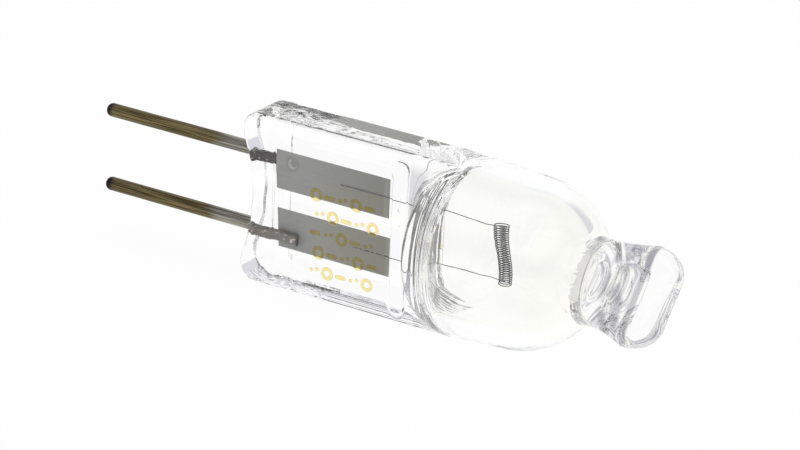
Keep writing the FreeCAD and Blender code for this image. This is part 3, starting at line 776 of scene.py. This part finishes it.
SPECK_PLACE, SPECK_HEIGHT, SPECK_TINT = (9.3, 9.35, 9.45, 9.5), (0.3, 0.4, 2.2, 2.3), (0.16, 0.15, 0.16, 1)
GREENISH, BLUISH = (0.992, 0.996, 0.992, 1), (0.998, 0.998, 1.0, 1)

clear_quartz, quartz_shader, place, (x, y, z) = new_finish("clear_quartz")
radius = (y * y + z * z).root()
uneven = stretched_noise(place, 1.3, stretch=(0.2, 1, 1), detail=3.0)
turn = z.maths("ARCTAN2", z, y) * (TEETH_ROUND / (2 * math.pi))
teeth = z.maths("FRACT", turn + uneven * TEETH_STRAY)
film_edge = FILM_PLACE - FILM_DEPTH - teeth * uneven * FILM_TEETH
film = (x - film_edge).rise(0, 0.02) * (1 - (x - FILM_PLACE).rise(*FILM_FADE)) * radius.rise(*FILM_RADIUS)
inside = x.between(*CHAMBER_PLACE) * (1 - radius.rise(*CHAMBER_SIDE))
# Painted reflection: dark lilac streaks where the tip flares stand for the darker room seen in the glass.
flare_reflection = stretched_noise(place, 1.6, stretch=(0.9, 0.4, 0.4), detail=3.0).rise(0.36, 0.56)
flare_reflection = flare_reflection * x.between(*FLARE_REFLECTION_PLACE) * radius.rise(*FLARE_REFLECTION_RADIUS)
across = y * math.cos(TAIL_TURN) - z * math.sin(TAIL_TURN)
# Painted shade: a dark tint along the crease across the paddle's front.
crease_shade = x.between(*CREASE_PLACE) * (1 - across.rise(*CREASE_FRONT))
# Painted reflection: a lilac patch in the melted seam stands for the darker room seen in its hollow.
melted = x.between(*MELT_PLACE) * z.between(*MELT_HEIGHT) * (1 - y.rise(*MELT_FRONT))
specks = stretched_noise(place, 9.0, stretch=(1, 1, 0.4), detail=1.0).rise(0.62, 0.66)
specks = specks * x.between(*SPECK_PLACE) * z.between(*SPECK_HEIGHT) * (1 - y.rise(-1, 1))
tint = stretched_noise(place, 0.5).rise(0.3, 0.7).mix(GREENISH, BLUISH)
tint = film.mix(inside.mix(tint, CHAMBER_TINT), FILM_TINT)
tint = crease_shade.mix(flare_reflection.mix(tint, FLARE_REFLECTION_TINT), CREASE_SHADE_TINT)
tint = specks.mix(melted.mix(tint, SEAM_REFLECTION_TINT), SPECK_TINT)
print("film about x =", FILM_PLACE, "mm with", TEETH_ROUND, "teeth")

# %% [markdown]
# Fire-polished glass is smooth but not flat: it has long, shallow waves. The pressed pin end is grained, and
# its narrow edges are crinkled first and railed further on. The large forms of these are in the skin, and
# the finest ones would need millions of faces, so they are relief in the finish. The light has to pass into
# the lamp, so the quartz casts no shadow of its own on the metal.

# %% Quartz relief
PRESSED_FADE, EDGE_RISE, NARROW_RISE, NARROW_FADE = (3.5, 6.0), (2.9, 3.6), (4.2, 4.35), (10.5, 11.5)
WAVE_HEIGHT, GRAIN_HEIGHT, CRINKLE_HEIGHT, RAIL_HEIGHT = 0.02, 0.03, 0.20, 0.045
GRAIN_LEAST = 0.25
QUARTZ_RELIEF, QUARTZ_IOR = 0.35, 1.46
PRESSED_ROUGHNESS, FILM_ROUGHNESS = 0.02, 0.1

waves = stretched_noise(place, 0.9, stretch=(0.5, 1, 1), detail=2.0)
pressed = 1 - x.rise(*PRESSED_FADE)
grained = GRAIN_LEAST + z.size().rise(*EDGE_RISE) * (1 - GRAIN_LEAST)
grain = stretched_noise(place, 4.5, stretch=(0.7, 1, 1), detail=3.0) * pressed * grained
narrow = z.size().rise(*NARROW_RISE) * (1 - x.rise(*NARROW_FADE))
crinkles = stretched_noise(place, 2.0, stretch=(1.0, 1.8, 0.2), detail=2.0) * narrow * pressed
rails = y.maths("SINE", y * (2 * math.pi / RAIL_STEP)) * narrow * (1 - pressed) * (1 - z.rise(-1, 1))
height = waves * WAVE_HEIGHT + grain * GRAIN_HEIGHT + crinkles * CRINKLE_HEIGHT + rails * RAIL_HEIGHT
feed(quartz_shader, Base_Color=tint, Roughness=pressed * PRESSED_ROUGHNESS + film * FILM_ROUGHNESS,
     Normal=relief(height, QUARTZ_RELIEF), Transmission_Weight=1.0, IOR=QUARTZ_IOR)
quartz_skins = [outside_skin, chamber_skin, bubble_skin]
quartz = new_piece("clear_quartz_capsule", quartz_skins, clear_quartz, "quartz_envelope")
quartz.visible_shadow = False
quartz.visible_diffuse = False

# %% [markdown]
# The pins are drawn molybdenum wire. A pin is a turned shape, so its skin is a profile carried round its
# axis: a rounded tip and a straight shank. Its sealed end is pressed flat on two sides, which is the same
# skin with its depth cut off, and inside the glass it is thinner and rough. A cylinder with a bevel would do
# for the shank alone.

# %% Pin shape
PIN_TIP_ROUND, TIP_RINGS = 0.3, 9
COIN_START, COIN_SLOPE, COIN_HALF = -0.1, 0.15, 0.25
SEALED_FROM, SEALED_SLOPE = 0.42, 0.1
SEALED_INSET, SEALED_ROUGH, SEALED_SCALE = 0.10, 0.09, 4.5
SHANK_RINGS, SEALED_RINGS, PIN_SIDES = 60, 30, 64


def pin_rows(node):
    """Rings of a pin: a rounded tip, then a straight shank, with its depth limited along the sealed end."""
    low, high = lamp_box(node)
    radius, axis = (high[2] - low[2]) / 2, (high[2] + low[2]) / 2
    bend = np.linspace(0, math.pi / 2, TIP_RINGS)
    tip_x = low[0] + PIN_TIP_ROUND * (1 - np.cos(bend))
    tip_r = radius - PIN_TIP_ROUND * (1 - np.sin(bend))
    shank = np.linspace(tip_x[-1], COIN_START - COIN_SLOPE, SHANK_RINGS)[1:]
    rest = np.concatenate([shank, np.linspace(COIN_START, high[0], SEALED_RINGS)])
    along = np.concatenate([tip_x, rest])[:, None]
    ring = np.concatenate([tip_r, np.full(len(rest), radius)])[:, None]
    turn = whole_turn(PIN_SIDES)
    limit = radius + (COIN_HALF - radius) * even_step(along, COIN_START - COIN_SLOPE, COIN_START)
    gripped = even_step(along, SEALED_FROM - SEALED_SLOPE, SEALED_FROM)
    rough = crumple(along + 0 * turn, radius * np.cos(turn) + axis, radius * np.sin(turn), SEALED_SCALE)
    ring = ring * (1 - gripped * (SEALED_INSET - SEALED_ROUGH * np.clip(rough, -1, 1)))
    y = np.clip(ring * np.cos(turn), -limit, limit)
    return np.stack([along + 0 * turn, y, axis + ring * np.sin(turn)], -1)


print("pin tips at", np.round(lamp_box("upper_contact_pin")[0][0], 2), "mm")

# %% [markdown]
# Heat has browned the pins' free ends, the tips are almost black, and next to the quartz the metal stays
# grey. Drawing the wire left streaks along it. In the glass the metal is dark, with painted highlights as
# bright specks, and a painted shade makes it darker on the upper pin than on the lower. Painting would do,
# but masks along the lamp's length give both pins the same wear, with blotches that shift each edge.

# %% Pin finish
BROWN_EDGE, BROWN_BLOTCH = (-1.6, -0.3), 2.4
DARK_EDGE, DARK_BLOTCH = (-8.7, -8.3), 0.5
GREY_DARK, GREY_LIGHT = (0.11, 0.105, 0.085, 1), (0.42, 0.405, 0.345, 1)
BROWN_DARK, BROWN_LIGHT = (0.055, 0.040, 0.015, 1), (0.25, 0.198, 0.088, 1)
BURNT_TIP = (0.012, 0.007, 0.02, 1)
SEALED_LIT_LOWER, SEALED_SHADED_UPPER = (0.19, 0.175, 0.155, 1), (0.085, 0.072, 0.078, 1)
SEALED_HIGHLIGHT_COLOUR = (0.58, 0.56, 0.54, 1)
PIN_ROUGHNESS, BROWN_ROUGHNESS = 0.28, 0.16
PIN_METALLIC, STREAK_HEIGHT, PIN_RELIEF = 0.85, 0.02, 0.6

oxidised_pin, pin_shader, place, (x, y, z) = new_finish("oxidised_pin")
streaks = stretched_noise(place, 3.0, stretch=(0.12, 6, 6), detail=5.0)
blotches = stretched_noise(place, 1.1, stretch=(0.6, 2, 2))
browned = 1 - (x + blotches * BROWN_BLOTCH).rise(*BROWN_EDGE)
darkened = 1 - (x + blotches * DARK_BLOTCH).rise(*DARK_EDGE)
gripped = x.rise(SEALED_FROM - SEALED_SLOPE, SEALED_FROM)
# Painted highlights: bright specks on the metal sealed in the glass.
sealed_highlights = stretched_noise(place, 5.0, stretch=(0.8, 1, 1.6), detail=3.0).rise(0.60, 0.66)
# Painted shade: the same sealed metal is darker on the upper pin than on the lower one.
sealed = sealed_highlights.mix(z.rise(-0.5, 0.5).mix(SEALED_LIT_LOWER, SEALED_SHADED_UPPER), SEALED_HIGHLIGHT_COLOUR)
metal = streaks.rise(0.3, 0.7).mix(GREY_DARK, GREY_LIGHT)
oxide = streaks.rise(0.35, 0.65).mix(BROWN_DARK, BROWN_LIGHT)
worn = darkened.mix(browned.mix(metal, oxide), BURNT_TIP)
feed(pin_shader, Base_Color=gripped.mix(worn, sealed), Metallic=PIN_METALLIC,
     Roughness=PIN_ROUGHNESS + browned * BROWN_ROUGHNESS, Normal=relief(streaks * STREAK_HEIGHT, PIN_RELIEF))
for node in ("upper_contact_pin", "lower_contact_pin"):
    pin_name = node.replace("contact", "oxidised")
    new_piece(pin_name, [closed_skin(pin_rows(node))], oxidised_pin, node)

# %% [markdown]
# The sealing foils are molybdenum, thinner than paper and thinner still at their edges, so that quartz can
# flow tightly round them. A plane with thickness would have blunt edges. Their skin is a flat lens carried
# along the lamp, and their pin end is slightly torn.

# %% Foil shape
TORN_DEPTH, TORN_REACH, TORN_SCALE = 0.12, 0.5, 4.0
FOIL_FEATHER = 0.3
FOIL_RINGS, FOIL_SIDES = 60, 72


def foil_rows(node):
    """Rings of a foil: a flat lens with feathered edges, from end to end."""
    low, high = lamp_box(node)
    middle, half = (low + high) / 2, (high - low) / 2
    turn = whole_turn(FOIL_SIDES)
    along = np.linspace(low[0], high[0], FOIL_RINGS)[:, None]
    y = middle[1] + half[1] * np.sin(turn) * (1 - FOIL_FEATHER * np.cos(turn) ** 2)
    z = middle[2] + half[2] * np.cos(turn) + 0 * along
    torn = dents(0 * z, 0 * z, z, TORN_SCALE, 1) * (1 - even_step(along, low[0], low[0] + TORN_REACH))
    return np.stack([along + TORN_DEPTH * torn, y + 0 * along, z], -1)


print("foils", np.round(np.subtract(*lamp_box("upper_foil")[::-1]), 2), "mm")

# %% [markdown]
# The foils are satin: rolled along their length, and etched to a fine grain so that glass sticks to them. A
# spot weld has left a grey nugget on the upper foil, with a painted highlight as a bright, broken stroke on
# its rim, and the ridge that the lower lead presses up is drawn only as its painted dark shade, broken along
# its length. These lie flat in the metal, so they are colours and not shapes.

# %% Foil finish
WELD_PLACE, WELD_UP, WELD_HALF = 2.62, 2.02, 0.3
STROKE_ALONG, STROKE_UP, STROKE_HOLE = 0.09, 0.06, (0.15, 0.26)
NUGGET_SHARE = 0.4
RIDGE_START, RIDGE_HALF, LOWER_LEAD = 5.95, 0.04, -1.57
END_STRIP, SHADE_PLACE = (0.34, 0.30), (3.0, 9.0)
SATIN_DARK, SATIN_LIGHT = (0.36, 0.365, 0.355, 1), (0.46, 0.465, 0.45, 1)
SATIN_SHADE, STRIP_COLOUR = (0.32, 0.32, 0.29, 1), (0.39, 0.40, 0.35, 1)
NUGGET_COLOUR, WELD_HIGHLIGHT_COLOUR = (0.28, 0.265, 0.25, 1), (0.58, 0.58, 0.57, 1)
RIDGE_SHADE_COLOUR = (0.05, 0.04, 0.03, 1)
FOIL_METALLIC, FOIL_ROUGHNESS, ROLLED_ROUGHNESS = 0.35, 0.5, 0.15


def away_from(x, z, along, up):
    """Distance from a place on the foil: the root of the summed squares of both differences."""
    return ((x - along) * (x - along) + (z - up) * (z - up)).root()


satin_foil, foil_shader, place, (x, y, z) = new_finish("satin_foil")
foil_end = lamp_box("upper_foil")[1][0]
rolling = stretched_noise(place, 4.0, stretch=(0.2, 1, 5))
grainy = stretched_noise(place, 14.0, detail=2.0)
satin = (rolling * 0.6 + grainy * 0.4).rise(0.3, 0.7).mix(SATIN_DARK, SATIN_LIGHT)
satin = x.rise(*SHADE_PLACE).mix(satin, SATIN_SHADE)
satin = x.rise(foil_end - END_STRIP[0], foil_end - END_STRIP[1]).mix(satin, STRIP_COLOUR)
from_weld = away_from(x, z, WELD_PLACE, WELD_UP)
nugget = 1 - from_weld.rise(WELD_HALF * 1.2, WELD_HALF * 1.5)
hole = away_from(x, z, WELD_PLACE + STROKE_ALONG, WELD_UP + STROKE_UP)
# Painted highlight: a bright, broken stroke on the weld's rim.
stroke = (1 - from_weld.rise(WELD_HALF * 0.7, WELD_HALF)) * hole.rise(*STROKE_HOLE)
stroke = stroke * stretched_noise(place, 6.0, detail=2.0).rise(0.36, 0.50)
satin = stroke.mix((nugget * NUGGET_SHARE).mix(satin, NUGGET_COLOUR), WELD_HIGHLIGHT_COLOUR)
# Painted shade: a dark broken line along the ridge that the lower lead presses into the foil.
ridge_shade = 1 - (z - LOWER_LEAD).size().rise(RIDGE_HALF * 0.6, RIDGE_HALF)
ridge_shade = ridge_shade * x.rise(RIDGE_START, RIDGE_START + 0.1)
broken = stretched_noise(place, 5.0, stretch=(1.5, 1, 1), detail=2.0).rise(0.40, 0.52)
satin = (ridge_shade * broken).mix(satin, RIDGE_SHADE_COLOUR)
feed(foil_shader, Base_Color=satin, Metallic=FOIL_METALLIC,
     Roughness=FOIL_ROUGHNESS + rolling * ROLLED_ROUGHNESS)
for node in ("upper_foil", "lower_foil"):
    new_piece(f"satin_{node}", [closed_skin(foil_rows(node))], satin_foil, node)

# %% [markdown]
# The filament is one tungsten wire: a lead from each foil, and a close coil across the bulb. A curve with a
# bevel could draw it, but a tube swept along computed points keeps the turns under control. The coil bows a
# little, as in a lamp that has burned.

# %% Filament shape
WIRE_RADIUS, LEAD_RADIUS, WIRE_SIDES = 0.028, 0.023, 8
COIL_TOP, COIL_BOTTOM, COIL_TURNS, COIL_RADIUS = 1.58, -1.5, 26.5, 0.315
COIL_PLACE, COIL_LEAN, COIL_BOW = 14.55, 0.13, 0.07
TURN_STEPS, LEAD_STEPS = 28, 60
LEAD_PLACES = (10.0, 11.5, 13.85, COIL_PLACE)
UPPER_HEIGHTS, LOWER_HEIGHTS = (1.66, 1.65, 1.5, COIL_TOP), (LOWER_LEAD, -1.5, -1.47, COIL_BOTTOM)


def filament_path():
    """The wire's middle line and its radius: upper lead, helix about a bowed axis, lower lead."""
    start = lamp_box("filament")[0][0]
    turn = np.linspace(0, 2 * math.pi * COIL_TURNS, int(COIL_TURNS * TURN_STEPS))
    share = turn / turn[-1]
    up = COIL_TOP + (COIL_BOTTOM - COIL_TOP) * share
    axis = COIL_PLACE + COIL_LEAN * (2 * share - 1) - COIL_BOW * np.sin(2 * math.pi * share)
    coil = np.stack([axis + COIL_RADIUS * np.sin(turn), -COIL_RADIUS * np.cos(turn), up], -1)
    lead = np.linspace(0, 1, LEAD_STEPS, endpoint=False)[:, None]
    upper = np.array([start, -COIL_RADIUS, COIL_TOP]) * (1 - lead) + coil[0] * lead
    lower = coil[-1] * (1 - lead) + np.array([start, COIL_RADIUS, COIL_BOTTOM]) * lead
    for run, heights in ((upper, UPPER_HEIGHTS), (lower, LOWER_HEIGHTS)):
        run[:, 2] = np.interp(run[:, 0], LEAD_PLACES, heights)
    counts = [len(upper), len(coil), len(lower) - 1]
    thickness = np.repeat([LEAD_RADIUS, WIRE_RADIUS, LEAD_RADIUS], counts)
    return np.concatenate([upper, coil, lower[1:]]), thickness[:, None, None]


def swept_tube(path, radius, sides):
    """Rings of a tube: at each point of the path, a circle across the path's direction."""
    along = np.gradient(path, axis=0)
    along /= np.linalg.norm(along, axis=1, keepdims=True)
    aside = np.cross([0.0, 0.0, 1.0], along)
    aside /= np.linalg.norm(aside, axis=1, keepdims=True)
    up = np.cross(along, aside)
    turn = whole_turn(sides)[:, None]
    return path[:, None] + radius * (np.cos(turn) * aside[:, None] + np.sin(turn) * up[:, None])


print("coil", COIL_TURNS, "turns over", round(COIL_TOP - COIL_BOTTOM, 2), "mm")

# %% [markdown]
# Drawn tungsten is a dark, half bright metal, and burning makes it patchy. One plain grey could do, but a
# fine noise keeps the turns of the coil apart to the eye.

# %% Filament finish
WIRE_DARK, WIRE_LIGHT = (0.13, 0.13, 0.135, 1), (0.26, 0.26, 0.27, 1)
WIRE_METALLIC, WIRE_ROUGHNESS, BURNED_ROUGHNESS = 0.7, 0.35, 0.2

drawn_tungsten, wire_shader, place, _ = new_finish("drawn_tungsten")
burned = stretched_noise(place, 6.0, detail=3.0)
feed(wire_shader, Base_Color=burned.mix(WIRE_DARK, WIRE_LIGHT), Metallic=WIRE_METALLIC,
     Roughness=WIRE_ROUGHNESS + burned * BURNED_ROUGHNESS)
wire_skin = closed_skin(swept_tube(*filament_path(), WIRE_SIDES))
new_piece("coiled_filament", [wire_skin], drawn_tungsten, "filament")

# %% [markdown]
# The front of the pinch carries thin fired marks in yellow ink: plain rings, bars and dots. A flat decal
# would float or flicker, so each mark is a thin closed skin that stands about a hundredth of a millimetre
# off the glass. A bar is a squashed tube with round ends, a dot is a bar of no length, and a ring is a
# squashed hoop.

# %% Ink shapes
INK_FACE, INK_HALF = 1.238, 0.007
BAR_RINGS, BAR_SIDES = 14, 24
HOOP_STEPS, HOOP_SIDES = 40, 12


def bar_rows(x, z, half, radius):
    """Rings of a flat bar with round ends along x: a circle swept from end to end and squashed in depth."""
    swing = np.linspace(-math.pi / 2, math.pi / 2, BAR_RINGS)[1:-1, None]
    turn = whole_turn(BAR_SIDES)
    along = x + half * np.sign(swing) + radius * np.sin(swing) + 0 * turn
    out = np.cos(swing)
    return np.stack([along, -INK_FACE + INK_HALF * out * np.cos(turn), z + radius * out * np.sin(turn)], -1)


def hoop_skin(x, z, radius, stroke):
    """Points and faces of a flat hoop: a circle carried round a ring, squashed in depth, with no ends."""
    around = whole_turn(HOOP_STEPS)[:, None]
    turn = whole_turn(HOOP_SIDES)
    out = radius + stroke * np.cos(turn)
    y = -INK_FACE + INK_HALF * np.sin(turn) + 0 * around
    points = np.stack([x + out * np.cos(around), y, z + out * np.sin(around)], -1).reshape(-1, 3)
    index = np.arange(HOOP_STEPS * HOOP_SIDES).reshape(HOOP_STEPS, HOOP_SIDES)
    ahead = np.roll(index, -1, 0)
    quads = np.stack([index, np.roll(index, -1, 1), np.roll(ahead, -1, 1), ahead], -1).reshape(-1, 4)
    return points, [quads]


print("ink", 2 * INK_HALF, "mm thick")

# %% [markdown]
# The marks stand in five rows, every other row shifted a little, and the three kinds take turns. The ink is
# see-through: bright yellow over clear quartz and olive over the foils. Plain yellow paint would hide the
# metal below, so it is tinted glass that hardly bends light, and it casts no shadow.

# %% Ink marks
INK_ROWS = (1.05, 0.05, -0.95, -1.95, -2.95)
INK_START, INK_STEP, INK_COUNT, INK_SHIFT = 4.45, 0.78, 5, 0.3
RING_RADIUS, RING_STROKE = 0.255, 0.096
BAR_HALF, BAR_STROKE = 0.21, 0.12
DOT_RADIUS, DOT_PLACES = 0.112, ((-0.16, 0.0), (0.18, 0.1))
INK_DEEP, INK_PALE = (0.95, 0.80, 0.33, 1), (0.97, 0.87, 0.52, 1)
INK_ROUGHNESS, PATCHY_ROUGHNESS, INK_IOR = 0.12, 0.1, 1.12

marks = []
for row, up in enumerate(INK_ROWS):
    for step in range(INK_COUNT):
        along = INK_START + INK_STEP * (step + INK_SHIFT * (row % 2))
        kind = (step + 2 * row) % 3
        if kind == 0:
            marks.append(hoop_skin(along, up, RING_RADIUS, RING_STROKE))
        elif kind == 1:
            marks.append(closed_skin(bar_rows(along, up, BAR_HALF, BAR_STROKE)))
        else:
            for over, higher in DOT_PLACES:
                marks.append(closed_skin(bar_rows(along + over, up + higher, 0.0, DOT_RADIUS)))
yellow_ink, ink_shader, place, _ = new_finish("yellow_ink")
patchy = stretched_noise(place, 5.0, detail=3.0).rise(0.3, 0.7)
feed(ink_shader, Base_Color=patchy.mix(INK_DEEP, INK_PALE), Transmission_Weight=1.0, IOR=INK_IOR,
     Roughness=INK_ROUGHNESS + patchy * PATCHY_ROUGHNESS)
ink = new_piece("yellow_ink_marks", marks, yellow_ink)
ink.visible_shadow = False
